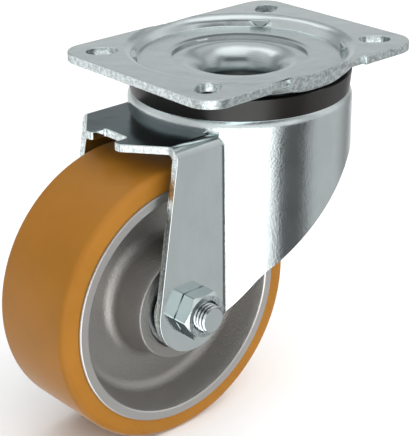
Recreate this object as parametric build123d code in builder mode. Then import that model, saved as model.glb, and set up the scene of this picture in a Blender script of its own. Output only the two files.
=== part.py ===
"""Swivel castor with a pressed top plate, a deep-drawn fork and a ball-bearing wheel.

Frame: the origin lies on the swivel axis in the plate's mounting face, +Z points up out of
that face, the wheel trails towards -X and the axle lies along Y. Lengths are in millimetres.
"""

import os
from math import atan2, degrees, hypot

from build123d import *

# Top plate
plate_length = 140.0
plate_width = 110.0
plate_thickness = 4.5
plate_corner_radius = 13.0
slot_pitch_x = 110.0
slot_pitch_y = 77.0
slot_width = 11.0
slot_length = 15.5
edge_relief_length = 62.0
edge_relief_depth = 2.0
edge_dimple_diameter = 3.2
edge_dimple_depth = 1.0
edge_dimple_x = -19.5
edge_dimple_drop = 2.2

# Dish pressed into the plate
dish_depth = 5.5
dish_groove_width = 2.1
dish_wall_run = 2.5
dish_lip_bend = 1.0
dish_floor_bend = 0.8
race_bead_height = 0.7
race_bead_slope = 1.4
race_bead_width = 11.0
funnel_rim_width = 3.8
funnel_step_depth = 1.2
funnel_step_run = 0.7
funnel_bend_radius = 8.5

# Small triangular presses in the dish wall, one facing each slot
press_width = 11.0
press_apex_reach = 1.0
press_slant = 0.8
press_height = 3.7
press_depth = 3.0

# Hollow kingpin drawn down out of the dish and flared under the lower race
kingpin_bore_radius = 16.5
kingpin_flare_width = 6.0
kingpin_flare_bend = 1.0

# Swivel bearing: two rows of loose balls
upper_ball_diameter = 11.0
upper_track_inset = 7.5
upper_ball_count = 22
lower_ball_diameter = 8.0
lower_track_inset = 4.0
lower_ball_count = 20
track_depth = 1.0
ball_play = 0.05
lower_race_thickness = 3.0
lower_race_lip_height = 3.6
lower_race_lip_thickness = 1.8

# Dust ring between plate and fork
dust_ring_inset = 0.4
dust_ring_taper = 1.0
dust_ring_wall = 2.2
dust_ring_ball_gap = 1.5
dust_ring_flange_thickness = 1.8
running_gap = 0.3

# Fork, deep-drawn from one sheet
fork_thickness = 4.0
head_radius = 55.5
head_bend_radius = 2.0
kingpin_hole_clearance = 1.5
shoulder_drop = 7.7
leg_bend_radius = 2.0
crease_radius = 4.0
nose_reach = 86.0
nose_half_width = 12.5
nose_notch_half_width = 8.2
nose_notch_depth = 8.4
nose_corner_radius = 1.6
nose_blend_radius = 6.0
leg_front_reach = 71.0
leg_end_radius = 21.0
skirt_heel_x = -30.0
skirt_heel_rise = 10.5
skirt_front_x = 31.4
skirt_front_drop = 31.2
skirt_bend_radius = 30.0
trail = 62.5
wheel_clearance = 10.0

# Wheel
wheel_diameter = 140.0
tread_width = 50.0
tread_thickness = 9.5
tread_corner_radius = 2.5
rim_ring_width = 5.0
rim_proud = 1.3
rim_draft = 4.8
web_thickness = 16.0
web_fillet_radius = 6.0
boss_radius = 27.3
boss_draft = 2.0
boss_proud = 3.0
wheel_centre_chamfer = 0.6
bearing_seat_chamfer = 0.8

# Wheel bearings
bearing_outer_radius = 21.0
bearing_bore_radius = 10.0
bearing_width = 12.0
bearing_recess = 1.5
bearing_ball_diameter = 6.35
bearing_ball_count = 9
bearing_inner_land_radius = 13.2
bearing_outer_land_radius = 17.8
bearing_edge_chamfer = 0.6
cage_width = 8.2
cage_thickness = 1.2
cage_play = 0.2
shield_thickness = 1.0
shield_inset = 0.4
hub_shoulder_height = 2.5

# Axle
axle_radius = 7.0
axle_clearance = 0.1
slip_fit = 0.02
spacer_length = 5.0
spacer_wall = 2.8
cap_radius = 19.6
cap_thickness = 3.3
cap_edge_radius = 1.0
centre_spacer_wall = 3.0
hex_across_flats = 22.0
nut_height = 8.5
bolt_head_height = 8.8
bolt_protrusion = 5.2
hex_chamfer = 1.2
hex_turn = 0.0
bolt_end_chamfer = 1.2

# Radii of the swivel head, from the fork's wall in and from the kingpin out
head_outer_bend = head_bend_radius + fork_thickness
leg_outer_bend = leg_bend_radius + fork_thickness
kingpin_outer_radius = kingpin_bore_radius + plate_thickness
upper_ball_circle_radius = head_radius - head_outer_bend - upper_track_inset
lower_ball_circle_radius = kingpin_outer_radius + lower_track_inset + lower_ball_diameter / 2
race_outer = upper_ball_circle_radius + race_bead_width / 2
race_inner = upper_ball_circle_radius - race_bead_width / 2
dish_floor_radius = race_outer + race_bead_slope + dish_groove_width
funnel_step_radius = kingpin_outer_radius + funnel_bend_radius + funnel_rim_width
dust_ring_radius = head_radius - dust_ring_inset
ring_tip_radius = dust_ring_radius - dust_ring_taper
ring_bore_radius = ring_tip_radius - dust_ring_wall
ring_flange_bore = upper_ball_circle_radius + upper_ball_diameter / 2 + dust_ring_ball_gap

# Levels of the swivel bearing, from the mounting face down
dish_floor_z = -dish_depth
dish_underside_z = dish_floor_z - plate_thickness
race_underside_z = dish_underside_z + race_bead_height
upper_ball_z = race_underside_z + track_depth - upper_ball_diameter / 2
head_top_z = upper_ball_z - upper_ball_diameter / 2 + track_depth
head_underside_z = head_top_z - fork_thickness
lower_ball_z = head_underside_z + track_depth - lower_ball_diameter / 2
lower_race_top_z = lower_ball_z - lower_ball_diameter / 2 + track_depth
lower_race_bottom_z = lower_race_top_z - lower_race_thickness
kingpin_bottom_z = lower_race_bottom_z - plate_thickness

# Fork and axle positions
shoulder_top_z = head_top_z - shoulder_drop
wheel_radius = wheel_diameter / 2
axle_x = -trail
axle_z = shoulder_top_z - fork_thickness - wheel_clearance - wheel_radius
nose_root_z = shoulder_top_z - leg_outer_bend
fork_bottom_z = axle_z - 2 * leg_end_radius

# Stations across the axle, from the wheel's middle plane out
rim_face_y = tread_width / 2 + rim_proud
boss_face_y = tread_width / 2 + boss_proud
bearing_face_y = boss_face_y - bearing_recess
bearing_middle_y = bearing_face_y - bearing_width / 2
bearing_back_y = bearing_face_y - bearing_width
leg_inner_y = bearing_face_y + spacer_length
leg_outer_y = leg_inner_y + fork_thickness
rim_radius = wheel_radius - tread_thickness
ball_circle_radius = (bearing_inner_land_radius + bearing_outer_land_radius) / 2
tube_outer_radius = bearing_bore_radius - slip_fit
tube_bore_radius = axle_radius + axle_clearance
sleeve_bore_radius = bearing_bore_radius + slip_fit

axle_centre = Vector(axle_x, 0, axle_z)
axle_line = Axis(axle_centre, (0, 1, 0))
wheel_section = Plane(axle_centre, x_dir=(1, 0, 0), z_dir=(0, 0, 1))
near_side, far_side = -1, 1
plate_corners = ((1, 1), (-1, 1), (-1, -1), (1, -1))

os.makedirs("parts", exist_ok=True)


def write(piece, name):
    """Label a finished piece and write it to its own file."""
    piece.part.label = name
    export_step(piece.part, f"parts/{name}.step")


def bent_sheet(face_points, thickness, bends):
    """Outline of a bent sheet's section, and its rounded corners with their radii.

    The points run along one face of the sheet and the metal lies to their left. For a point's
    index, bends gives the radius inside that bend; the radius outside it is one sheet more.
    """
    face = [Vector(*point) for point in face_points]
    runs = [(end - start).normalized() for start, end in zip(face, face[1:])]
    normals = [Vector(-run.Y, run.X) for run in runs]
    back = [face[0] + normals[0] * thickness]
    for corner, before, after in zip(face[1:-1], normals, normals[1:]):
        back.append(corner + (before + after) * (thickness / (1 + before.dot(after))))
    back.append(face[-1] + normals[-1] * thickness)
    rounded = []
    for index, inside_radius in bends.items():
        turns_left = runs[index - 1].cross(runs[index]).Z > 0
        inside, outside = (back, face) if turns_left else (face, back)
        rounded.append((inside[index], inside_radius))
        rounded.append((outside[index], inside_radius + thickness))
    return face + back[::-1], rounded


def tangent_point(centre, radius, point, side):
    """Where a line from the point touches the circle, on the circle's side given by the sign."""
    reach = point - centre
    along = radius * radius / reach.length
    across = radius * (1 - (radius / reach.length) ** 2) ** 0.5
    direction = reach.normalized()
    return centre + direction * along + Vector(-direction.Y, direction.X) * (side * across)


def fork_form(inset):
    """Solid inside one face of the drawn fork, lying inset within the outer face."""
    top = shoulder_top_z - inset
    reach = 2 * nose_reach + inset
    with BuildPart() as form:
        with BuildSketch(Plane.XY.offset(top)) as plan:
            with Locations((-reach / 2, 0)):
                Rectangle(reach, 2 * (leg_outer_y - inset))
            Circle(head_radius - inset)
            creases = plan.vertices().filter_by_position(Axis.X, -head_radius, -inset)
            fillet(creases, crease_radius + inset)
        extrude(amount=fork_bottom_z - top)
        fillet(form.faces().sort_by(Axis.Z)[-1].edges(), leg_outer_bend - inset)
        with BuildSketch(Plane.XY.offset(head_top_z - inset)):
            Circle(head_radius - inset)
        extrude(amount=nose_root_z - leg_outer_bend - head_top_z)
        rim = form.edges().filter_by(GeomType.CIRCLE).sort_by(Axis.Z)[-1]
        fillet(rim, head_outer_bend - inset)
    return form


def axle_hex(height, side):
    """Nut or bolt head on the leg's outer face on that side, its outer corners turned off."""
    face, outer = side * leg_outer_y, side * (leg_outer_y + height)
    corner_reach = hex_across_flats / 3**0.5 + slip_fit
    with BuildPart() as hexagon:
        with BuildSketch(Plane.XZ.offset(-face)):
            with Locations((axle_x, axle_z)):
                RegularPolygon(hex_across_flats / 2, 6, major_radius=False, rotation=hex_turn)
        extrude(amount=-side * height)
        with BuildSketch(wheel_section):
            with BuildLine():
                Polyline(
                    (0, face),
                    (corner_reach, face),
                    (corner_reach, outer - side * hex_chamfer),
                    (hex_across_flats / 2 - hex_chamfer / 2, outer),
                    (0, outer),
                    close=True,
                )
            make_face()
        revolve(axis=axle_line, mode=Mode.INTERSECT)
    return hexagon


def turned(points):
    """Solid of revolution about the axle from a section given as radius and Y station."""
    with BuildPart() as blank:
        with BuildSketch(wheel_section):
            with BuildLine():
                Polyline(*points, close=True)
            make_face()
        revolve(axis=axle_line)
    return blank


# Mounting plate: blank, dish, ball track, funnel and kingpin are one pressed sheet
sheet_reach = hypot(plate_length, plate_width) / 2 + plate_thickness
plate_points = [
    (sheet_reach, 0),
    (dish_floor_radius + dish_wall_run, 0),
    (dish_floor_radius, dish_floor_z),
    (race_outer + race_bead_slope, dish_floor_z),
    (race_outer, dish_floor_z + race_bead_height),
    (race_inner, dish_floor_z + race_bead_height),
    (race_inner - race_bead_slope, dish_floor_z),
    (funnel_step_radius + funnel_step_run, dish_floor_z),
    (funnel_step_radius, dish_floor_z - funnel_step_depth),
    (kingpin_bore_radius, dish_floor_z - funnel_step_depth),
    (kingpin_bore_radius, kingpin_bottom_z),
    (kingpin_outer_radius + kingpin_flare_width, kingpin_bottom_z),
]
plate_bends = {
    1: dish_lip_bend,
    2: dish_floor_bend,
    9: funnel_bend_radius,
    10: kingpin_flare_bend,
}
plate_outline, bend_corners = bent_sheet(plate_points, plate_thickness, plate_bends)
with BuildPart() as mounting_plate:
    with BuildSketch(Plane.XZ) as plate_section:
        with BuildLine():
            Polyline(*plate_outline, close=True)
        make_face()
        for corner, radius in bend_corners:
            fillet(plate_section.vertices().sort_by_distance(corner)[0], radius)
    revolve(axis=Axis.Z)
    with BuildSketch(Plane.XY.offset(kingpin_bottom_z)):
        RectangleRounded(plate_length, plate_width, plate_corner_radius)
    extrude(amount=-kingpin_bottom_z, mode=Mode.INTERSECT)
    with BuildSketch():
        for x_side, y_side in plate_corners:
            x, y = x_side * slot_pitch_x / 2, y_side * slot_pitch_y / 2
            with Locations((x, y)):
                SlotOverall(slot_length, slot_width, rotation=degrees(atan2(y, x)))
        with Locations((0, -plate_width / 2)):
            Rectangle(edge_relief_length, 2 * edge_relief_depth)
    extrude(amount=dish_underside_z, mode=Mode.SUBTRACT)
    for x_side, y_side in plate_corners:
        outward = Vector(x_side * slot_pitch_x, y_side * slot_pitch_y).normalized()
        apex = outward * (dish_floor_radius - press_apex_reach) + Vector(0, 0, dish_floor_z)
        facet_normal = outward * -press_height + Vector(0, 0, press_slant)
        with BuildSketch(Plane(apex, x_dir=outward.cross(Vector(0, 0, 1)), z_dir=facet_normal)):
            with BuildLine():
                Polyline(
                    (0, 0),
                    (press_width / 2, hypot(press_slant, press_height)),
                    (-press_width / 2, hypot(press_slant, press_height)),
                    close=True,
                )
            make_face()
        extrude(amount=-press_depth)
    dimple_y = -plate_width / 2 + edge_relief_depth + edge_dimple_depth
    with BuildSketch(Plane.XZ.offset(-dimple_y)):
        with Locations((edge_dimple_x, -edge_dimple_drop)):
            Circle(edge_dimple_diameter / 2)
    extrude(amount=2 * edge_dimple_depth, mode=Mode.SUBTRACT)
    with BuildSketch(Plane.XZ):
        with Locations((upper_ball_circle_radius, upper_ball_z)):
            Circle(upper_ball_diameter / 2 + ball_play)
    revolve(axis=Axis.Z, mode=Mode.SUBTRACT)
write(mounting_plate, "mounting_plate")

# Swivel bearing
with BuildPart() as upper_balls:
    with Locations((0, 0, upper_ball_z)):
        with PolarLocations(upper_ball_circle_radius, upper_ball_count):
            Sphere(upper_ball_diameter / 2)
write(upper_balls, "upper_balls")

with BuildPart() as lower_balls:
    with Locations((0, 0, lower_ball_z)):
        with PolarLocations(lower_ball_circle_radius, lower_ball_count):
            Sphere(lower_ball_diameter / 2)
write(lower_balls, "lower_balls")

race_lip_inner = lower_ball_circle_radius + lower_ball_diameter / 2 + running_gap
with BuildPart() as lower_race:
    with BuildSketch(Plane.XZ) as race_section:
        with BuildLine():
            Polyline(
                (kingpin_outer_radius + slip_fit, lower_race_bottom_z),
                (race_lip_inner + lower_race_lip_thickness, lower_race_bottom_z),
                (race_lip_inner + lower_race_lip_thickness, lower_race_top_z + lower_race_lip_height),
                (race_lip_inner, lower_race_top_z + lower_race_lip_height),
                (race_lip_inner, lower_race_top_z),
                (kingpin_outer_radius + slip_fit, lower_race_top_z),
                close=True,
            )
        make_face()
        foot = race_section.vertices().group_by(Axis.Y)[0].sort_by(Axis.X)
        chamfer(foot[0], kingpin_flare_bend + running_gap)
        fillet(foot[-1], lower_race_lip_thickness)
        with Locations((lower_ball_circle_radius, lower_ball_z)):
            Circle(lower_ball_diameter / 2 + ball_play, mode=Mode.SUBTRACT)
    revolve(axis=Axis.Z)
write(lower_race, "lower_race")

# Dust ring: hangs under the dish and stops short of the rounded fork head
head_flat_radius = head_radius - head_outer_bend
bend_centre_z = head_top_z - head_outer_bend
ring_sweep = head_outer_bend + running_gap


def over_head(radius):
    """Level a running gap above the fork head's rounded shoulder."""
    return bend_centre_z + (ring_sweep**2 - (radius - head_flat_radius) ** 2) ** 0.5


with BuildPart() as dust_ring:
    with BuildSketch(Plane.XZ):
        with BuildLine():
            Polyline(
                (ring_tip_radius, over_head(ring_tip_radius)),
                (dust_ring_radius, dish_underside_z),
                (ring_flange_bore, dish_underside_z),
                (ring_flange_bore, dish_underside_z - dust_ring_flange_thickness),
                (ring_bore_radius, dish_underside_z - dust_ring_flange_thickness),
                (ring_bore_radius, over_head(ring_bore_radius)),
                close=True,
            )
        make_face()
    revolve(axis=Axis.Z)
write(dust_ring, "dust_ring")

# Fork: one drawn sheet, head, shoulder and both legs
fork_outside = fork_form(0)
fork_inside = fork_form(fork_thickness)
leg_top = Vector(-leg_front_reach, nose_root_z)
leg_end = Vector(axle_x, axle_z)
heel = Vector(skirt_heel_x, axle_z + skirt_heel_rise)
skirt_z = head_top_z - skirt_front_drop
with BuildPart() as fork:
    add(fork_outside.part)
    add(fork_inside.part, mode=Mode.SUBTRACT)
    with BuildSketch(Plane.XZ) as side_view:
        with BuildLine():
            Polyline(
                (-2 * nose_reach, 0),
                (-2 * nose_reach, nose_root_z),
                leg_top,
                tangent_point(leg_end, leg_end_radius, leg_top, 1),
                leg_end,
                tangent_point(leg_end, leg_end_radius, heel, -1),
                heel,
                (skirt_front_x, skirt_z),
                (2 * head_radius, skirt_z),
                (2 * head_radius, 0),
                close=True,
            )
        make_face()
        for corner in (heel, Vector(skirt_front_x, skirt_z)):
            fillet(side_view.vertices().sort_by_distance(corner)[0], skirt_bend_radius)
        with Locations(leg_end):
            Circle(leg_end_radius)
    extrude(amount=head_radius, both=True, mode=Mode.INTERSECT)
    with BuildSketch(Plane.XY.offset(nose_root_z)) as nose:
        with BuildLine():
            Polyline(
                (-leg_front_reach, leg_inner_y),
                (-nose_reach, nose_half_width),
                (-nose_reach, nose_notch_half_width),
                (-nose_reach + nose_notch_depth, nose_notch_half_width),
                (-nose_reach + nose_notch_depth, -nose_notch_half_width),
                (-nose_reach, -nose_notch_half_width),
                (-nose_reach, -nose_half_width),
                (-leg_front_reach, -leg_inner_y),
                (-leg_front_reach, -2 * leg_outer_y),
                (-2 * nose_reach, -2 * leg_outer_y),
                (-2 * nose_reach, 2 * leg_outer_y),
                (-leg_front_reach, 2 * leg_outer_y),
                close=True,
            )
        make_face()
        for y in (-nose_half_width, nose_half_width):
            fillet(nose.vertices().sort_by_distance((-nose_reach, y))[0], nose_corner_radius)
        for x in (-nose_reach, -nose_reach + nose_notch_depth):
            for y in (-nose_notch_half_width, nose_notch_half_width):
                fillet(nose.vertices().sort_by_distance((x, y))[0], nose_corner_radius)
        for y in (-leg_inner_y, leg_inner_y):
            fillet(nose.vertices().sort_by_distance((-leg_front_reach, y))[0], nose_blend_radius)
    extrude(amount=-nose_root_z, mode=Mode.SUBTRACT)
    with BuildSketch(Plane.XY.offset(head_top_z)):
        Circle(kingpin_outer_radius + kingpin_hole_clearance)
    extrude(amount=-fork_thickness, mode=Mode.SUBTRACT)
    with BuildSketch(Plane.XZ):
        with Locations(leg_end):
            Circle(tube_bore_radius)
    extrude(amount=leg_outer_y, both=True, mode=Mode.SUBTRACT)
    with BuildSketch(Plane.XZ):
        with Locations((upper_ball_circle_radius, upper_ball_z)):
            Circle(upper_ball_diameter / 2 + ball_play)
        with Locations((lower_ball_circle_radius, lower_ball_z)):
            Circle(lower_ball_diameter / 2 + ball_play)
    revolve(axis=Axis.Z, mode=Mode.SUBTRACT)
write(fork, "fork")

# Axle set
with BuildPart() as axle_nut:
    add(axle_hex(nut_height, near_side).part)
    with BuildSketch(Plane.XZ.offset(leg_outer_y)):
        with Locations((axle_x, axle_z)):
            Circle(axle_radius + slip_fit)
    extrude(amount=nut_height, mode=Mode.SUBTRACT)
write(axle_nut, "axle_nut")

bolt_end_y = leg_outer_y + nut_height + bolt_protrusion
with BuildPart() as axle_bolt:
    add(axle_hex(bolt_head_height, far_side).part)
    with BuildSketch(Plane.XZ.offset(-leg_outer_y)):
        with Locations((axle_x, axle_z)):
            Circle(axle_radius)
    extrude(amount=leg_outer_y + bolt_end_y)
    bolt_end = axle_bolt.edges().filter_by(GeomType.CIRCLE).sort_by(Axis.Y)[0]
    chamfer(bolt_end, bolt_end_chamfer)
write(axle_bolt, "axle_bolt")


def sleeve(bore, radius, start, end, name):
    """Plain tube on the axle between two Y stations."""
    tube = turned([(bore, start), (radius, start), (radius, end), (bore, end)])
    write(tube, name)


sleeve(tube_bore_radius, tube_outer_radius, -leg_inner_y, leg_inner_y, "axle_tube")
sleeve(
    sleeve_bore_radius,
    bearing_bore_radius + centre_spacer_wall,
    -bearing_back_y,
    bearing_back_y,
    "bearing_spacer",
)


def end_spacer(side, name):
    """Stepped spacer between a bearing's inner ring and the leg, with a cap over the seal."""
    points = [
        (sleeve_bore_radius, bearing_face_y),
        (bearing_bore_radius + spacer_wall, bearing_face_y),
        (bearing_bore_radius + spacer_wall, leg_inner_y - cap_thickness),
        (cap_radius, leg_inner_y - cap_thickness),
        (cap_radius, leg_inner_y),
        (sleeve_bore_radius, leg_inner_y),
    ]
    with BuildPart() as spacer:
        with BuildSketch(wheel_section) as section:
            with BuildLine():
                Polyline(*[(radius, side * y) for radius, y in points], close=True)
            make_face()
            rim = section.vertices().group_by(Axis.X)[-1]
            fillet(rim, cap_edge_radius)
        revolve(axis=axle_line)
    write(spacer, name)


end_spacer(near_side, "near_spacer")
end_spacer(far_side, "far_spacer")


def bearing(side, name):
    """Sealed ball bearing in the wheel centre, on that side of the wheel."""
    middle = side * bearing_middle_y
    back, front = middle - bearing_width / 2, middle + bearing_width / 2
    ball_radius = bearing_ball_diameter / 2
    rings = {
        "outer_ring": (bearing_outer_land_radius, bearing_outer_radius),
        "inner_ring": (bearing_bore_radius, bearing_inner_land_radius),
    }
    for ring_name, (bore, radius) in rings.items():
        with BuildPart() as ring:
            with BuildSketch(wheel_section):
                with Locations(((bore + radius) / 2, middle)):
                    Rectangle(radius - bore, bearing_width)
                with Locations((ball_circle_radius, middle)):
                    Circle(ball_radius + ball_play, mode=Mode.SUBTRACT)
            revolve(axis=axle_line)
            rims = ring.edges().group_by(Axis.Y)
            chamfer(rims[0] + rims[-1], bearing_edge_chamfer)
        write(ring, f"{name}_{ring_name}")

    hub = Plane(Vector(axle_x, middle, axle_z), x_dir=(1, 0, 0), z_dir=(0, -1, 0))
    with BuildPart(hub) as balls:
        with PolarLocations(ball_circle_radius, bearing_ball_count):
            Sphere(ball_radius)
    write(balls, f"{name}_balls")

    cage_bore = ball_circle_radius - cage_thickness / 2
    with BuildPart(hub) as cage:
        with BuildSketch(hub.offset(-cage_width / 2)):
            Circle(cage_bore + cage_thickness)
            Circle(cage_bore, mode=Mode.SUBTRACT)
        extrude(amount=cage_width)
        with PolarLocations(ball_circle_radius, bearing_ball_count):
            Cylinder(
                ball_radius + cage_play,
                2 * bearing_ball_diameter,
                rotation=(0, 90, 0),
                mode=Mode.SUBTRACT,
            )
    write(cage, f"{name}_cage")

    with BuildPart() as seals:
        for face, inward in ((back, 1), (front, -1)):
            start = face + inward * shield_inset
            with BuildSketch(hub.offset(middle - start)):
                Circle(bearing_outer_land_radius)
                Circle(bearing_inner_land_radius + running_gap, mode=Mode.SUBTRACT)
            extrude(amount=-inward * shield_thickness)
    write(seals, f"{name}_seals")


bearing(near_side, "near_bearing")
bearing(far_side, "far_bearing")

# Wheel
web_y = web_thickness / 2
rim_bore = rim_radius - rim_ring_width
half_centre = [
    (bearing_outer_radius - hub_shoulder_height, 0),
    (bearing_outer_radius - hub_shoulder_height, bearing_back_y),
    (bearing_outer_radius, bearing_back_y),
    (bearing_outer_radius, boss_face_y),
    (boss_radius, boss_face_y),
    (boss_radius + boss_draft, web_y),
    (rim_bore - rim_draft, web_y),
    (rim_bore, rim_face_y),
    (rim_radius, rim_face_y),
    (rim_radius, 0),
]
with BuildPart() as wheel_centre:
    with BuildSketch(wheel_section) as centre_section:
        with BuildLine():
            Polyline(*half_centre, close=True)
        make_face()
        for corner in (half_centre[5], half_centre[6]):
            fillet(centre_section.vertices().sort_by_distance(corner)[0], web_fillet_radius)
        for corner in (half_centre[4], half_centre[7], half_centre[8]):
            chamfer(centre_section.vertices().sort_by_distance(corner)[0], wheel_centre_chamfer)
        seat_mouth = centre_section.vertices().sort_by_distance(half_centre[3])[0]
        chamfer(seat_mouth, bearing_seat_chamfer)
        mirror(about=Plane.XZ)
    revolve(axis=axle_line)
write(wheel_centre, "wheel_centre")

with BuildPart() as tread:
    with BuildSketch(wheel_section) as tread_section:
        with Locations(((rim_radius + wheel_radius) / 2, 0)):
            Rectangle(tread_thickness, tread_width)
        fillet(tread_section.vertices().group_by(Axis.X)[-1], tread_corner_radius)
    revolve(axis=axle_line)
write(tread, "tread")
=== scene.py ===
import math

import bmesh
import bpy
from bpy.props import FloatProperty, FloatVectorProperty, IntProperty, PointerProperty
from mathutils import Euler, Matrix, Vector


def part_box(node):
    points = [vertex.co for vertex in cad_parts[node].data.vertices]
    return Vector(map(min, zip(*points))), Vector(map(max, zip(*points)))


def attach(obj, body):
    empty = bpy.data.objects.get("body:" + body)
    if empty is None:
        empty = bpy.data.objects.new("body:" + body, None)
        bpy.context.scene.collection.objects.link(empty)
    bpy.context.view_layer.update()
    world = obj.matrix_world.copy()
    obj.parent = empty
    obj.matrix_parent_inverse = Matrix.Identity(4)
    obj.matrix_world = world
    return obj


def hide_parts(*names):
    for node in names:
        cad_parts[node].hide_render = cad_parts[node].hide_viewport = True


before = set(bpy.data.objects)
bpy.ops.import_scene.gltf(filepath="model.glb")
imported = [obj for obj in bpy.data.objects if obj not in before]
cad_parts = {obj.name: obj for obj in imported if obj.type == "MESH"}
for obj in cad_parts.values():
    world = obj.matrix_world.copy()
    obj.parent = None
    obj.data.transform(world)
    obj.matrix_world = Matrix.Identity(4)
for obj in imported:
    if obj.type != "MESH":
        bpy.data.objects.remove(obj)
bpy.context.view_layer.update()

bl_info = {
    "name": "Swivel castor",
    "version": (1, 0, 0),
    "blender": (4, 5, 0),
    "location": "View3D > Sidebar > Castor",
    "description": "Swivel castor: zinc plated plate and fork, cast wheel centre, ochre tread",
    "category": "Object",
}

MM = 0.001

# Places and sizes from the CAD parts in model.glb, in metres. The near side of the wheel is towards
# -Y.
wheel_low, wheel_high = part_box("tread")
AXLE = (wheel_low + wheel_high) / 2
WHEEL_RADIUS = (wheel_high.x - wheel_low.x) / 2
TREAD_HALF = (wheel_high.y - wheel_low.y) / 2
centre_low, centre_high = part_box("wheel_centre")
RIM_RADIUS = (centre_high.x - centre_low.x) / 2
fork_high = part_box("fork")[1]
HEAD_RADIUS = fork_high.y
SHOULDER = fork_high.z - 7.7 * MM  # height of the fork's flat shoulder
bolt_low, bolt_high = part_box("axle_bolt")
nut_low, nut_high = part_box("axle_nut")
HEAD_FACE = -nut_high.y
HEX_FLAT = (nut_high.z - nut_low.z) / 2
HEX_CORNER = HEX_FLAT / math.cos(math.radians(30))

SAME_PLACE = 2e-6  # vertices of a CAD mesh that are this near each other are one
NO_LENGTH = 1e-7  # an edge this short is merged away
FLAT = math.radians(0.1)  # faces of a CAD mesh that meet at less than this are one
ON_STATION = 1e-5  # a vertex this near a radius or a Y station lies on it
TUBE_PLAY = 4e-5  # between a cap's bore and the axle tube
THREAD_PLAY = 2e-5  # between the nut's bore and the thread
STATIONS_PER_TURN = 20  # along each turn of the thread
EDGE_SEGMENTS = 3
RIM_SEGMENTS = 6
SHARP_EDGE = math.radians(75)
LARGE_FACE_WEIGHT = 60
FLOOR_REACH = 6.0
SENSOR_WIDTH = 36.0

# Bends under these angles are shaded smooth.
SMOOTH_SHEET = math.radians(32)
SMOOTH_TREAD = math.radians(50)
SMOOTH_HEX = math.radians(20)
SMOOTH_CAP = math.radians(40)

# The studio that the metal mirrors: grey levels by turn, which is 0 at -X, 0.25 at -Y, 0.5 at +X
# and 0.75 at +Y. The first list is for directions below the horizon, the second for those above.
LOW_PANELS = [
    (0.0, 0.62), (0.05, 0.85), (0.08, 2.3), (0.205, 2.3), (0.24, 0.14), (0.326, 0.12),
    (0.343, 0.55), (0.36, 0.58), (0.455, 0.60), (0.53, 0.28), (0.60, 1.0), (0.66, 0.8),
    (0.80, 0.7), (0.85, 1.25), (0.89, 1.25), (0.94, 0.6),
]
HIGH_PANELS = [
    (0.0, 0.7), (0.08, 1.0), (0.17, 1.0), (0.24, 0.8), (0.28, 1.0), (0.33, 0.5), (0.40, 0.85),
    (0.44, 0.8), (0.50, 0.45), (0.57, 0.62), (0.64, 0.70), (0.70, 0.6), (0.76, 0.35),
    (0.85, 0.75), (1.0, 0.65),
]
GLOOM = (0.16, 0.17, 0.18, 1.0)
DUSK = (0.30, 0.32, 0.33, 1.0)
GLOW = (1.3, 1.3, 1.3, 1.0)
WHITE = (1.0, 1.0, 1.0, 1.0)


def length(name, description, default, low, high):
    """A size property, given in millimetres and kept in metres."""
    return FloatProperty(
        name=name, description=description, default=default * MM, min=low * MM, max=high * MM,
        precision=5, subtype="DISTANCE",
    )


def colour(name, description, default):
    """A colour property."""
    return FloatVectorProperty(
        name=name, description=description, default=default, min=0.0, max=1.0,
        size=3, subtype="COLOR",
    )


class CastorSizes(bpy.types.PropertyGroup):
    """Sizes of the pieces that are modelled here"""

    tread_corner: length("Tread corner", "Radius of the tread's two outer corners", 3.6, 0.2, 6.0)
    bolt_radius: length("Bolt radius", "Radius of the axle bolt over its thread", 7.0, 3.0, 12.0)
    bolt_chamfer: length("Bolt chamfer", "Chamfer on the axle bolt's end", 1.2, 0.2, 2.0)
    thread_pitch: length("Thread pitch", "Pitch of the axle bolt's thread", 2.0, 0.5, 3.0)
    thread_depth: length("Thread depth", "Depth of the axle bolt's thread", 1.05, 0.1, 1.5)
    thread_inside: length("Thread inside", "Length of thread made inside the nut", 1.6, 0.5, 4.0)
    nut_mouth: length("Nut mouth", "Chamfer at the mouth of the nut's thread", 1.1, 0.2, 2.0)
    hex_chamfer: length("Hexagon chamfer", "Height turned off the hexagons' corners", 1.2, 0.3, 3.0)
    hex_edge: length("Hexagon edge", "Rounding along the hexagons' edges", 0.35, 0.05, 1.0)
    hex_seat: length("Hexagon seat", "Chamfer where the hexagons meet the legs", 0.5, 0.1, 1.5)
    broken_edge: length("Broken edge", "Rounding of the pressed sheets' cut edges", 0.45, 0.05, 1.0)
    turned_edge: length("Turned edge", "Rounding of the wheel centre's edges", 0.3, 0.05, 1.0)
    cap_thickness: length("Cap thickness", "Thickness of the caps over the bearings", 3.3, 1.0, 6.0)
    cap_round: length("Cap rounding", "Radius of the caps' rims", 1.6, 0.2, 3.0)
    round_steps: IntProperty(
        name="Round steps", description="Steps in a full turn", default=240, min=48, max=512
    )


class CastorFinish(bpy.types.PropertyGroup):
    """Colours of the castor's finishes"""

    zinc: colour("Zinc", "Bright zinc plating", (0.665, 0.73, 0.735))
    cast: colour("Cast metal", "Shot-blasted casting of the wheel centre", (0.395, 0.384, 0.366))
    machined: colour("Machined metal", "Turned rim of the wheel centre", (0.76, 0.745, 0.72))
    tread: colour("Tread", "Ochre elastomer", (0.39, 0.166, 0.021))
    plastic: colour("Dust ring", "Black moulded plastic", (0.012, 0.0105, 0.0095))
    rubber: colour("Seals", "Black rubber", (0.02, 0.02, 0.02))
    balls: colour("Balls", "Polished steel of the balls", (0.78, 0.78, 0.78))
    rings: colour("Bearing rings", "Ground steel of the wheel bearings' rings", (0.8, 0.8, 0.79))
    race: colour("Lower race", "Hardened steel of the swivel's lower race", (0.55, 0.55, 0.55))
    cages: colour("Cages", "Pressed steel of the wheel bearings' cages", (0.6, 0.59, 0.57))


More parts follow.
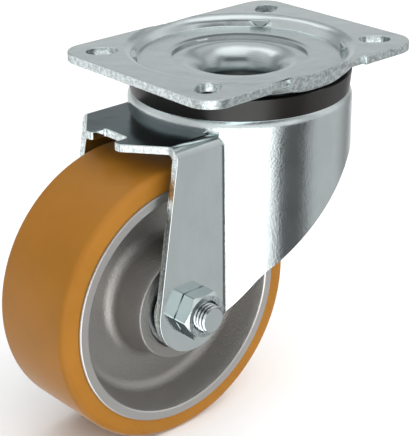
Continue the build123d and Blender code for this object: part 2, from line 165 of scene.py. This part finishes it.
class CastorStage(bpy.types.PropertyGroup):
    """Camera and studio"""

    lens: FloatProperty(
        name="Lens", description="Focal length", default=114.86, min=20, max=300, unit="CAMERA"
    )
    place: FloatVectorProperty(
        name="Camera place", description="Camera position",
        default=(-0.445735, -0.479154, 0.198345),
        subtype="TRANSLATION", unit="LENGTH", precision=5,
    )
    turn: FloatVectorProperty(
        name="Camera turn", description="Camera rotation",
        default=tuple(math.radians(angle) for angle in (66.04648, 0.59646, -41.65667)),
        subtype="EULER", unit="ROTATION", precision=4,
    )
    floor_colour: colour("Floor", "Plain pale floor", (0.97, 0.97, 0.97))


class Signal:
    """One output of a shader node, with the arithmetic that shader expressions use."""

    def __init__(self, shader, socket):
        self.shader = shader
        self.socket = socket

    def output(self, key):
        """Another output of the same node."""
        return Signal(self.shader, self.socket.node.outputs[key])

    def math(self, operation, *others):
        """A Math node on this signal and what follows it."""
        values = dict(enumerate((self, *others)))
        return self.shader.node("Math", {"operation": operation}, values)

    def reflected(self, operation, first):
        """A Math node with this signal in second place."""
        return self.shader.node("Math", {"operation": operation}, {0: first, 1: self})

    def __add__(self, other):
        return self.math("ADD", other)

    __radd__ = __add__

    def __mul__(self, other):
        return self.math("MULTIPLY", other)

    __rmul__ = __mul__

    def __sub__(self, other):
        return self.math("SUBTRACT", other)

    def __rsub__(self, other):
        return self.reflected("SUBTRACT", other)

    def __truediv__(self, other):
        return self.math("DIVIDE", other)

    def __rtruediv__(self, other):
        return self.reflected("DIVIDE", other)

    def between(self, low, high):
        """0 below low, 1 above high and a smooth step from one to the other."""
        values = {"Value": self, "From Min": low, "From Max": high}
        return self.shader.node("MapRange", {"interpolation_type": "SMOOTHSTEP"}, values)

    def band(self, rise, fall):
        """A smooth step from 0 to 1 over one pair of limits and back to 0 over the other."""
        return self.between(*rise) * (1 - self.between(*fall))


class Shader:
    """Builds a node tree for a material or a world."""

    def __init__(self, tree):
        self.tree = tree
        tree.nodes.clear()

    def node(self, kind, settings=None, inputs=None):
        """Add a node, set it up, fill its sockets and give back its first output."""
        made = self.tree.nodes.new("ShaderNode" + kind)
        for name, value in (settings or {}).items():
            if name == "stops":
                ramp = made.color_ramp
                while len(ramp.elements) < len(value):
                    ramp.elements.new(1.0)
                for element, (position, grey) in zip(ramp.elements, value):
                    element.position = position
                    element.color = (grey, grey, grey, 1.0)
            else:
                setattr(made, name, value)
        for key, value in (inputs or {}).items():
            if isinstance(value, Signal):
                self.tree.links.new(value.socket, made.inputs[key])
            else:
                made.inputs[key].default_value = value
        return Signal(self, made.outputs[0]) if made.outputs else None

    def place(self):
        """Position on the piece, in metres."""
        return self.node("TexCoord").output("Object")

    def split(self, vector):
        """The X, Y and Z of a vector."""
        parts = self.node("SeparateXYZ", None, {"Vector": vector})
        return parts.output("X"), parts.output("Y"), parts.output("Z")

    def noise(self, scale, detail, roughness, stretch=None):
        """Noise from 0 to 1 with a grain of about 1/scale metres."""
        where = self.place()
        if stretch:
            where = self.node("Mapping", None, {"Vector": where, "Scale": stretch})
        values = {"Vector": where, "Scale": scale, "Detail": detail, "Roughness": roughness}
        return self.node("TexNoise", None, values)

    def blend(self, amount, first, second):
        """Mix two colours. A Mix node's colours are its inputs 6 and 7 and its output 2."""
        return self.node("Mix", {"data_type": "RGBA"}, {0: amount, 6: first, 7: second}).output(2)

    def bump(self, height, strength, distance, under=None):
        """A normal from a height, which 1 lifts by distance metres, over another one if given."""
        inputs = {"Strength": strength, "Distance": distance, "Height": height}
        if under:
            inputs["Normal"] = under
        return self.node("Bump", None, inputs)


def rgba(value, gain=1.0):
    """A colour with its channels times gain, up to 1, and full alpha."""
    return tuple(min(1.0, channel * gain) for channel in value[:3]) + (1.0,)


def material(name):
    """A new material and the shader that fills it."""
    made = bpy.data.materials.new(name)
    made.use_nodes = True
    return made, Shader(made.node_tree)


def finish(shader, **sockets):
    """End a material in a Principled shader with these sockets."""
    values = {key.replace("_", " "): value for key, value in sockets.items()}
    surface = shader.node("BsdfPrincipled", None, values)
    shader.node("OutputMaterial", None, {"Surface": surface})


def about_axle(shader):
    """Distance from the axle and distance from the wheel's middle plane, in metres."""
    to_axle = {"Vector": shader.place(), "Location": (-AXLE.x, 0.0, -AXLE.z)}
    x, y, z = shader.split(shader.node("Mapping", None, to_axle))
    return (x * x + z * z).math("SQRT"), y.math("ABSOLUTE")


def zinc_finish(name, tint, roughness, wave, peel, streak=(1.0, 1.0, 1.0), marks=()):
    """Bright zinc on pressed steel: cloudy sheen, faint drawing waves and fine peel.

    Each name in marks is an attribute of the mesh that sets a part of it apart: drawn is pitted,
    shorn is torn and gritty, the painted shade mark darkens the colour as painted shade, and groove
    darkens the root of a thread as painted shade.
    """
    made, shader = material(name)
    marked = {
        mark: shader.node("Attribute", {"attribute_name": mark}).output("Fac") for mark in marks
    }
    clouds = shader.noise(55, 5, 0.6, streak).between(0.35, 0.7)
    fine = shader.noise(1500, 3, 0.6)
    waves = shader.noise(70, 2, 0.4, streak)
    peeled = shader.noise(1300, 3, 0.75)
    base = shader.blend(clouds, rgba(tint, 0.95), rgba(tint, 1.03))
    rough = clouds * 0.05 + fine * 0.05 + roughness
    lifted = shader.bump(waves, wave, 0.0006)
    textured = shader.bump(fine * 0.3 + peeled * 0.7, peel, 0.00025, lifted)
    if "drawn" in marked:
        pitted = shader.noise(850, 3, 0.75).between(0.4, 0.6)
        textured = shader.bump(pitted * marked["drawn"], 0.1, 0.0003, textured)
    if "shorn" in marked:
        edge = marked["shorn"]
        tear = shader.noise(420, 4, 0.7, (1.0, 1.0, 0.25))
        grit = shader.noise(650, 4, 0.75)
        torn = shader.blend(grit.between(0.35, 0.65), rgba(tint, 0.66), rgba(tint, 1.25))
        base = shader.blend(edge, base, torn)
        rough = rough + edge * (0.10 + tear * 0.10)
        textured = shader.bump((tear * 0.6 + grit * 0.5) * edge, 0.45, 0.0004, textured)
    # Painted shade: the marked faces are darkened towards a near-black blue-grey, where shade
    # falls.
    if "dull" in marked:
        darkened = (tint[0] * 0.12, tint[1] * 0.155, tint[2] * 0.17, 1.0)
        base = shader.blend(marked["dull"], base, darkened)
    # Painted shade in the thread's root, darker where the groove is deeper.
    if "groove" in marked:
        base = shader.blend(marked["groove"].between(0.25, 0.8), base, rgba(tint, 0.06))
    finish(shader, Base_Color=base, Metallic=1.0, Roughness=rough, Normal=textured)
    return made


def tread_finish(tint):
    """Satin cast elastomer with a slight glow and a faint cloudiness."""
    made, shader = material("tread_ochre")
    cloud = shader.noise(28, 4, 0.55).between(0.3, 0.75)
    fine = shader.noise(900, 3, 0.6)
    base = shader.blend(cloud, rgba(tint, 0.93), rgba(tint, 1.05))
    rough = fine * 0.08 + cloud * 0.06 + 0.24
    skin = shader.bump(fine, 0.05, 0.0002)
    finish(
        shader, Base_Color=base, Roughness=rough, Normal=skin, IOR=1.5, Specular_IOR_Level=0.16,
        Subsurface_Weight=0.2, Subsurface_Radius=(0.012, 0.005, 0.001), Subsurface_Scale=0.3,
    )
    return made


def cast_finish(cast, machined):
    """Shot-blasted casting with a turned rim face."""
    made, shader = material("cast_centre")
    radius, side = about_axle(shader)
    grain_place = {"Vector": shader.place(), "Scale": 1500.0}
    grains = shader.node("TexVoronoi", {"feature": "F1"}, grain_place)
    coarse = shader.noise(500, 4, 0.65)
    cloud = shader.noise(40, 4, 0.6).between(0.3, 0.7)
    turned = side.between(25.8 * MM, 26.1 * MM) * radius.between(50 * MM, 51 * MM)
    lathe_place = {"W": radius * 5200, "Detail": 2.0}
    turning = shader.node("TexNoise", {"noise_dimensions": "1D"}, lathe_place)
    base = shader.blend(cloud, rgba(cast, 0.9), rgba(cast, 1.1))
    base = shader.blend(grains.between(0.1, 0.55) * 0.35, rgba(cast, 1.35), base)
    base = shader.blend(turned, base, rgba(machined))
    rough = (1 - turned) * (0.44 + cloud * 0.06) + turned * (0.34 + turning * 0.08)
    blasted = (grains * 0.6 + coarse * 0.7) * (1 - turned) + turning * turned * 0.12
    relief = shader.bump(blasted, 0.6, 0.0004)
    finish(shader, Base_Color=base, Metallic=0.95, Roughness=rough, Normal=relief)
    return made


def moulded_finish(name, tint, roughness, grain):
    """Moulded plastic or rubber with a fine eroded texture."""
    made, shader = material(name)
    cloud = shader.noise(60, 4, 0.5)
    fine = shader.noise(1500, 2, 0.5)
    base = shader.blend(cloud, rgba(tint, 0.8), rgba(tint, 1.3))
    rough = cloud * 0.12 + fine * 0.06 + roughness
    finish(shader, Base_Color=base, Roughness=rough, Normal=shader.bump(fine, grain, 0.0002))
    return made


def polished_finish(name, tint, roughness):
    """Ground bearing steel with faint scratches."""
    made, shader = material(name)
    scratches = shader.noise(700, 3, 0.6, (1.0, 6.0, 1.0))
    base = shader.blend(scratches, rgba(tint, 0.92), rgba(tint, 1.04))
    rough = scratches * 0.1 + roughness
    skin = shader.bump(scratches, 0.05, 0.0001)
    finish(shader, Base_Color=base, Metallic=1.0, Roughness=rough, Normal=skin)
    return made


def dress(node, finish_material):
    """Give a CAD node that stays its material."""
    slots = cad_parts[node].data.materials
    if not slots:
        raise RuntimeError(f"{node} has no material slot")
    for index in range(len(slots)):
        slots[index] = finish_material


def new_piece(name, build, body, finish_material, smooth=SMOOTH_SHEET):
    """Turn a bmesh into a shown piece that rides on a body."""
    mesh = bpy.data.meshes.new(name)
    build.to_mesh(mesh)
    build.free()
    mesh.shade_smooth()
    mesh.set_sharp_from_angle(angle=smooth)
    mesh.materials.append(finish_material)
    piece = bpy.data.objects.new(name, mesh)
    bpy.context.scene.collection.objects.link(piece)
    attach(piece, body)
    return piece


def round_edges(build, edges, size, segments=EDGE_SEGMENTS):
    """Bevel edges to a round section."""
    bmesh.ops.bevel(
        build, geom=edges, offset=size, offset_type="OFFSET", segments=segments,
        affect="EDGES", profile=0.5, material=-1,
    )


def welded(node):
    """A copy of a CAD node's mesh as a bmesh, merged and without the CAD's normals."""
    build = bmesh.new()
    build.from_mesh(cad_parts[node].data)
    for layer in list(build.loops.layers.float_vector.values()):
        build.loops.layers.float_vector.remove(layer)
    bmesh.ops.remove_doubles(build, verts=build.verts, dist=SAME_PLACE)
    bmesh.ops.dissolve_degenerate(build, dist=NO_LENGTH, edges=build.edges)
    bmesh.ops.dissolve_limit(build, angle_limit=FLAT, verts=build.verts, edges=build.edges)
    return build


def edge_broken(node, size):
    """A welded copy of a CAD node with every sharp outside edge rounded a little."""
    build = welded(node)
    sharp = [
        edge for edge in build.edges
        if len(edge.link_faces) == 2 and edge.calc_face_angle_signed() > SHARP_EDGE
    ]
    round_edges(build, sharp, size)
    return build


def even_shading(piece):
    """Let the large faces set the normals beside narrow bends."""
    weighted = piece.modifiers.new("even_shading", "WEIGHTED_NORMAL")
    weighted.keep_sharp = True
    weighted.weight = LARGE_FACE_WEIGHT


def mark_faces(piece, name, test):
    """Give each face what a test of its centre and normal says, for the finish to read."""
    mesh = piece.data
    marks = mesh.attributes.new(name, "FLOAT", "FACE")
    for face in mesh.polygons:
        marks.data[face.index].value = float(test(face.center, face.normal))


def spoke(vert):
    """The way from the axle to a vertex, square to the axle."""
    return Vector((vert.co.x - AXLE.x, 0, vert.co.z - AXLE.z))


def spun(profile, steps):
    """A section of radii and Y stations spun about the axle.

    A section that starts on the axle also ends there. Any other is closed to a ring.
    """
    build = bmesh.new()
    corners = [build.verts.new((AXLE.x + radius, y, AXLE.z)) for radius, y in profile]
    last = corners[:1] if profile[0][0] > 0 else []
    edges = [build.edges.new(pair) for pair in zip(corners, corners[1:] + last)]
    bmesh.ops.spin(
        build, geom=corners + edges, cent=AXLE, axis=(0, 1, 0), angle=math.tau, steps=steps,
        use_merge=True,
    )
    bmesh.ops.remove_doubles(build, verts=build.verts, dist=NO_LENGTH)
    bmesh.ops.recalc_face_normals(build, faces=build.faces)
    return build


def turned_corner(sizes):
    """Radius of a hexagon's round face, and how steeply its chamfer falls beyond it."""
    top = HEX_FLAT - sizes.hex_chamfer / 2
    return top, sizes.hex_chamfer / (HEX_CORNER - top)


def shape_hexagon(build, face, outer, sizes):
    """Push the spun side from one Y station to another out to a hexagon with turned corners."""
    top, fall = turned_corner(sizes)
    away = 1 if outer > face else -1
    for vert in build.verts:
        arm = spoke(vert)
        if arm.length < HEX_FLAT - ON_STATION or (vert.co.y - face) * away < -ON_STATION:
            continue
        angle = math.atan2(arm.z, arm.x)
        off_flat = angle % (math.pi / 3) - math.pi / 6
        radius = HEX_FLAT / math.cos(off_flat)
        vert.co.x = AXLE.x + math.cos(angle) * radius
        vert.co.z = AXLE.z + math.sin(angle) * radius
        if abs(vert.co.y - face) > ON_STATION:
            vert.co.y = outer - away * (radius - top) * fall
    long_edges = [
        edge for edge in build.edges
        if abs(edge.verts[0].co.y - edge.verts[1].co.y) > MM
        and all(spoke(vert).length > HEX_CORNER - ON_STATION for vert in edge.verts)
    ]
    round_edges(build, long_edges, sizes.hex_edge)


def cut_thread(build, end, inside, sizes):
    """Press a helical groove into the shank between two Y stations, and mark how deep it is."""
    # The depth mark sets how much painted shade the finish puts in the thread's root.
    depth_mark = build.verts.layers.float.new("groove")
    for vert in build.verts:
        arm = spoke(vert)
        if abs(arm.length - sizes.bolt_radius) > ON_STATION:
            continue
        if not end + ON_STATION < vert.co.y < inside - ON_STATION:
            continue
        turn = (vert.co.y / sizes.thread_pitch + math.atan2(arm.z, arm.x) / math.tau) % 1.0
        sunk = 1 - abs(2 * turn - 1)
        chamfer_left = max(0.0, sizes.bolt_chamfer - (vert.co.y - end))
        radius = sizes.bolt_radius - max(sizes.thread_depth * sunk, chamfer_left)
        vert[depth_mark] = sunk
        vert.co.x = AXLE.x + arm.x * radius / arm.length
        vert.co.z = AXLE.z + arm.z * radius / arm.length


def round_rings(build, places, size):
    """Round the circular edges at these radii and Y stations of a spun piece."""
    rings = [
        edge for radius, y in places for edge in build.edges
        if all(
            abs(vert.co.y - y) < ON_STATION and abs(spoke(vert).length - radius) < ON_STATION
            for vert in edge.verts
        )
    ]
    round_edges(build, rings, size, RIM_SEGMENTS)


class CASTOR_OT_stage(bpy.types.Operator):
    """Make the floor, the studio light and the camera"""

    bl_idname = "castor.stage"
    bl_label = "Stage"

    def execute(self, context):
        settings = context.scene.castor_stage
        self.floor(context, settings)
        self.studio(context)
        self.camera(context, settings)
        context.scene.view_settings.view_transform = "Standard"
        return {"FINISHED"}

    def floor(self, context, settings):
        """Plain pale floor under the wheel, which the metal doesn't mirror."""
        build = bmesh.new()
        bmesh.ops.create_grid(build, x_segments=1, y_segments=1, size=FLOOR_REACH)
        bmesh.ops.translate(build, verts=build.verts, vec=(0, 0, wheel_low.z))
        mesh = bpy.data.meshes.new("floor")
        build.to_mesh(mesh)
        build.free()
        paper, shader = material("floor_paper")
        fibre = shader.noise(300, 3, 0.5)
        shade = shader.blend(
            fibre, rgba(settings.floor_colour, 0.99), rgba(settings.floor_colour, 1.01)
        )
        finish(shader, Base_Color=shade, Roughness=0.9, Specular_IOR_Level=0.1)
        mesh.materials.append(paper)
        floor = bpy.data.objects.new("floor", mesh)
        context.scene.collection.objects.link(floor)
        floor.visible_glossy = False

    def studio(self, context):
        """Soft light from all round, with panels that shape the reflections."""
        world = bpy.data.worlds.new("studio")
        world.use_nodes = True
        context.scene.world = world
        shader = Shader(world.node_tree)
        x, y, z = shader.split(shader.node("TexCoord").output("Generated"))
        turn = y.math("ARCTAN2", x) / math.tau + 0.5
        low = shader.node("ValToRGB", {"stops": LOW_PANELS}, {"Fac": turn})
        high = shader.node("ValToRGB", {"stops": HIGH_PANELS}, {"Fac": turn})
        sides = shader.blend(z.between(-0.12, 0.12), low, high)
        dusk = z.band((0.33, 0.40), (0.5, 0.62)) * turn.band((0.5, 0.57), (0.72, 0.8))
        gloom = z.band((0.48, 0.64), (0.74, 0.92)) * turn.band((0.0, 0.08), (0.24, 0.38))
        banded = shader.blend(gloom, shader.blend(dusk, sides, DUSK), GLOOM)
        overhead = (x * 0.10 - y * 0.09 + z * 0.99).between(0.86, 0.97)
        window = z.between(0.62, 0.68) * turn.band((0.69, 0.73), (0.79, 0.83))
        mirrored = shader.blend(overhead.math("MAXIMUM", window), banded, GLOW)
        # Rough surfaces get plain light from above and from the camera's right instead.
        soft = (z.math("MAXIMUM", 0.0) * 1.3 + x * 0.7 - y + 0.5).math("MAXIMUM", 0.05)
        soft_light = shader.node("CombineXYZ", None, {"X": soft, "Y": soft, "Z": soft})
        diffuse = shader.node("LightPath").output("Is Diffuse Ray")
        lit = shader.blend(diffuse, mirrored, soft_light)
        shown = shader.blend(shader.node("LightPath").output("Is Camera Ray"), lit, WHITE)
        light = shader.node("Background", None, {"Color": shown, "Strength": 1.0})
        shader.node("OutputWorld", None, {"Surface": light})

    def camera(self, context, settings):
        """Camera at the photo's angle."""
        data = bpy.data.cameras.new("camera")
        data.lens = settings.lens
        data.sensor_width = SENSOR_WIDTH
        data.clip_start, data.clip_end = 0.01, 50.0
        camera = bpy.data.objects.new("camera", data)
        camera.matrix_world = Matrix.LocRotScale(
            Vector(settings.place), Euler(settings.turn), None
        )
        context.scene.collection.objects.link(camera)
        context.scene.camera = camera


class CASTOR_OT_mounting_plate(bpy.types.Operator):
    """Dress the pressed mounting plate"""

    bl_idname = "castor.mounting_plate"
    bl_label = "Mounting plate"

    def execute(self, context):
        zinc = zinc_finish(
            "zinc_plate", context.scene.castor_finish.zinc, roughness=0.17, wave=0.45, peel=0.12,
            marks=("shorn", "dull"),
        )
        build = edge_broken("mounting_plate", context.scene.castor_sizes.broken_edge)
        plate = new_piece("pressed_plate", build, "plate", zinc)
        mark_faces(plate, "shorn", self.shorn)
        # Painted shade on the funnel's throat and on the slopes of the four small presses.
        mark_faces(plate, "dull", self.dull)
        even_shading(plate)
        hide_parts("mounting_plate")
        return {"FINISHED"}

    def shorn(self, at, normal):
        """Whether a face is a wall of the plate's outline or of a slot."""
        sheet_bottom, dish_reach = -5 * MM, 52.6 * MM
        return abs(normal.z) < 0.3 and at.z > sheet_bottom and at.xy.length > dish_reach

    def dull(self, at, normal):
        """How much painted shade a face gets: the funnel's throat darker with depth, and the four
        small presses' slopes.
        """
        throat_radius, throat_top, throat_fade = 26 * MM, -9 * MM, 10 * MM
        deepest_throat_shade, press_shade = 0.5, 0.6
        out = at.xy.length
        if out < throat_radius:
            return min(deepest_throat_shade, max(0.0, (throat_top - at.z) / throat_fade))
        at_press = -4 * MM < at.z < -2 * MM and 49.5 * MM < out < 51.5 * MM
        return press_shade * (at_press and 0.1 < normal.z < 0.3)


class CASTOR_OT_fork(bpy.types.Operator):
    """Dress the drawn fork"""

    bl_idname = "castor.fork"
    bl_label = "Fork"

    def execute(self, context):
        zinc = zinc_finish(
            "zinc_fork", context.scene.castor_finish.zinc, roughness=0.07, wave=0.25, peel=0.15,
            streak=(1.0, 1.0, 0.6), marks=("shorn", "dull", "drawn"),
        )
        build = edge_broken("fork", context.scene.castor_sizes.broken_edge)
        fork = new_piece("drawn_fork", build, "fork", zinc)
        mark_faces(fork, "shorn", self.shorn)
        # Painted shade on the flat shoulder, where the plate above shades it.
        mark_faces(fork, "dull", self.on_shoulder)
        mark_faces(fork, "drawn", self.on_skirt)
        even_shading(fork)
        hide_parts("fork")
        return {"FINISHED"}

    def shorn(self, at, normal):
        """Whether a face is a cut edge of the legs, the skirt or the nose."""
        skirt_front, nose_start, square = 32 * MM, -71.5 * MM, 0.02
        on_head = abs(at.xy.length - HEAD_RADIUS) <= 0.2 * MM
        if normal.z >= 0.9 or at.x >= skirt_front or on_head:
            return False
        nose_wall = at.x < nose_start and abs(normal.z) < square and abs(normal.y) < 0.95
        return nose_wall or abs(normal.y) < square

    def on_shoulder(self, at, normal):
        """Whether a face lies in the flat shoulder's top, which gets painted shade from the plate
        above it.
        """
        return normal.z > 0.98 and abs(at.z - SHOULDER) < 0.3 * MM

    def on_skirt(self, at, normal):
        """Whether a face lies on the outside of the round head and skirt."""
        return abs(at.xy.length - HEAD_RADIUS) < 2 * MM


class CASTOR_OT_dust_ring(bpy.types.Operator):
    """Dress the dust ring"""

    bl_idname = "castor.dust_ring"
    bl_label = "Dust ring"

    def execute(self, context):
        plastic = moulded_finish(
            "dust_ring_black", context.scene.castor_finish.plastic, roughness=0.2, grain=0.08
        )
        build = welded("dust_ring")
        ring = new_piece("moulded_dust_ring", build, "plate", plastic)
        even_shading(ring)
        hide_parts("dust_ring")
        return {"FINISHED"}


class CASTOR_OT_tread(bpy.types.Operator):
    """Make the elastomer tread"""

    bl_idname = "castor.tread"
    bl_label = "Tread"

    def execute(self, context):
        sizes = context.scene.castor_sizes
        shoulders = [(WHEEL_RADIUS, -TREAD_HALF), (WHEEL_RADIUS, TREAD_HALF)]
        build = spun(
            [(RIM_RADIUS, -TREAD_HALF), *shoulders, (RIM_RADIUS, TREAD_HALF)], sizes.round_steps
        )
        round_rings(build, shoulders, sizes.tread_corner)
        ochre = tread_finish(context.scene.castor_finish.tread)
        tread = new_piece("cast_tread", build, "wheel", ochre, SMOOTH_TREAD)
        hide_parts("tread")
        return {"FINISHED"}


class CASTOR_OT_wheel_centre(bpy.types.Operator):
    """Dress the cast wheel centre"""

    bl_idname = "castor.wheel_centre"
    bl_label = "Wheel centre"

    def execute(self, context):
        finishes = context.scene.castor_finish
        cast = cast_finish(finishes.cast, finishes.machined)
        build = edge_broken("wheel_centre", context.scene.castor_sizes.turned_edge)
        centre = new_piece("cast_wheel_centre", build, "wheel", cast)
        even_shading(centre)
        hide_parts("wheel_centre")
        return {"FINISHED"}


class CASTOR_OT_axle(bpy.types.Operator):
    """Make the axle bolt, the nut and the capped end spacers, and dress the tubes"""

    bl_idname = "castor.axle"
    bl_label = "Axle bolt and nut"

    def execute(self, context):
        sizes, zinc = context.scene.castor_sizes, context.scene.castor_finish.zinc
        # A multiple of 12 puts a vertex on each corner and in the middle of each flat.
        steps = sizes.round_steps - sizes.round_steps % 12
        # The bolt's finish paints shade into the thread's root from the groove mark.
        plated = zinc_finish(
            "zinc_bolt", zinc, roughness=0.14, wave=0.15, peel=0.15, marks=("groove",)
        )
        build = self.bolt_form(sizes, steps)
        bolt = new_piece("threaded_bolt", build, "fork", plated, SMOOTH_HEX)
        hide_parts("axle_bolt")
        plated = zinc_finish(
            "zinc_nut", zinc, roughness=0.12, wave=0.3, peel=0.2, marks=("shorn",)
        )
        build = self.nut_form(sizes, steps)
        nut = new_piece("hexagon_nut", build, "fork", plated, SMOOTH_HEX)
        mark_faces(nut, "shorn", lambda at, normal: abs(normal.y) > 0.98)
        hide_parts("axle_nut")
        # Painted highlight: the tubes and caps get a lighter copy of the zinc, so the caps' rims
        # look bright.
        tube = zinc_finish("zinc_tube", rgba(zinc, 1.25), roughness=0.28, wave=0.1, peel=0.1)
        for node in ("axle_tube", "bearing_spacer"):
            dress(node, tube)
        for side, name in ((-1, "near"), (1, "far")):
            build = self.cap_form(sizes, steps, side)
            cap = new_piece(f"{name}_cap", build, "fork", tube, SMOOTH_CAP)
            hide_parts(f"{name}_spacer")
        return {"FINISHED"}

    def cap_form(self, sizes, steps, side):
        """Stepped end spacer with a rounded cap against the leg."""
        low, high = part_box("near_spacer")
        wide = (high.x - low.x) / 2
        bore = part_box("axle_tube")[1].x - AXLE.x + TUBE_PLAY
        neck = bore + 2.8 * MM
        leg, seat = -low.y, -high.y
        step = leg - sizes.cap_thickness
        rims = [(wide, side * step), (wide, side * leg)]
        build = spun([
            (bore, side * seat), (neck, side * seat), (neck, side * step), *rims,
            (bore, side * leg),
        ], steps)
        round_rings(build, rims, sizes.cap_round)
        return build

    def nut_form(self, sizes, steps):
        """Hexagon nut with a chamfered seat and mouth."""
        top, fall = turned_corner(sizes)
        bore, mouth, seat = sizes.bolt_radius + THREAD_PLAY, sizes.nut_mouth, sizes.hex_seat
        face, outer = nut_high.y, nut_low.y
        build = spun([
            (bore, face), (HEX_FLAT - seat, face), (HEX_FLAT, face - seat),
            (HEX_FLAT, outer + (HEX_FLAT - top) * fall), (top, outer),
            (bore + mouth, outer), (bore, outer + mouth),
        ], steps)
        shape_hexagon(build, face - seat, outer, sizes)
        return build

    def bolt_form(self, sizes, steps):
        """Bolt with a hexagon head, a plain shank and a thread cut at its end."""
        top, fall = turned_corner(sizes)
        radius, seat = sizes.bolt_radius, sizes.hex_seat
        end, inside, outer = bolt_low.y, nut_low.y + sizes.thread_inside, bolt_high.y
        stations = math.ceil((inside - end) / (sizes.thread_pitch / STATIONS_PER_TURN))
        threaded = [
            (radius, end + (inside - end) * index / stations) for index in range(1, stations + 1)
        ]
        build = spun([
            (0, end), (radius - sizes.bolt_chamfer, end), *threaded, (radius, HEAD_FACE),
            (HEX_FLAT - seat, HEAD_FACE), (HEX_FLAT, HEAD_FACE + seat),
            (HEX_FLAT, outer - (HEX_FLAT - top) * fall), (top, outer), (0, outer),
        ], steps)
        cut_thread(build, end, inside, sizes)
        shape_hexagon(build, HEAD_FACE + seat, outer, sizes)
        return build


class CASTOR_OT_bearings(bpy.types.Operator):
    """Dress the swivel balls, the lower race and the wheel bearings"""

    bl_idname = "castor.bearings"
    bl_label = "Bearings"

    def execute(self, context):
        finishes = context.scene.castor_finish
        balls = polished_finish("ball_steel", finishes.balls, roughness=0.08)
        rings = polished_finish("bearing_steel", finishes.rings, roughness=0.34)
        race = polished_finish("race_steel", finishes.race, roughness=0.3)
        cages = polished_finish("cage_steel", finishes.cages, roughness=0.3)
        rubber = moulded_finish("seal_rubber", finishes.rubber, roughness=0.5, grain=0.1)
        dress("upper_balls", balls)
        dress("lower_balls", balls)
        dress("lower_race", race)
        for side in ("near", "far"):
            dress(f"{side}_bearing_balls", balls)
            dress(f"{side}_bearing_cage", cages)
            dress(f"{side}_bearing_outer_ring", rings)
            dress(f"{side}_bearing_inner_ring", rings)
            dress(f"{side}_bearing_seals", rubber)
        return {"FINISHED"}


class CASTOR_PT_panel(bpy.types.Panel):
    """Lists the castor's pieces, sizes and colours"""

    bl_idname = "CASTOR_PT_panel"
    bl_label = "Swivel castor"
    bl_space_type = "VIEW_3D"
    bl_region_type = "UI"
    bl_category = "Castor"

    def draw(self, context):
        layout = self.layout
        for operator in OPERATORS:
            layout.operator(operator.bl_idname)
        for settings in GROUPS:
            group = getattr(context.scene, settings)
            box = layout.box()
            for name in group.bl_rna.properties.keys():
                if name not in ("rna_type", "name"):
                    box.prop(group, name)


OPERATORS = (
    CASTOR_OT_stage,
    CASTOR_OT_mounting_plate,
    CASTOR_OT_fork,
    CASTOR_OT_dust_ring,
    CASTOR_OT_tread,
    CASTOR_OT_wheel_centre,
    CASTOR_OT_axle,
    CASTOR_OT_bearings,
)
GROUPS = {"castor_sizes": CastorSizes, "castor_finish": CastorFinish, "castor_stage": CastorStage}


def register():
    """Register the classes and hang the settings on the scene."""
    for made in (*GROUPS.values(), *OPERATORS, CASTOR_PT_panel):
        bpy.utils.register_class(made)
    for name, group in GROUPS.items():
        setattr(bpy.types.Scene, name, PointerProperty(type=group))


def unregister():
    """Take the settings and the classes away again."""
    for name in GROUPS:
        delattr(bpy.types.Scene, name)
    for made in (CASTOR_PT_panel, *reversed(OPERATORS), *GROUPS.values()):
        bpy.utils.unregister_class(made)


def main():
    """Register the add-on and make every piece."""
    register()
    for operator in OPERATORS:
        group, name = operator.bl_idname.split(".")
        getattr(getattr(bpy.ops, group), name)()


if __name__ == "__main__":
    main()
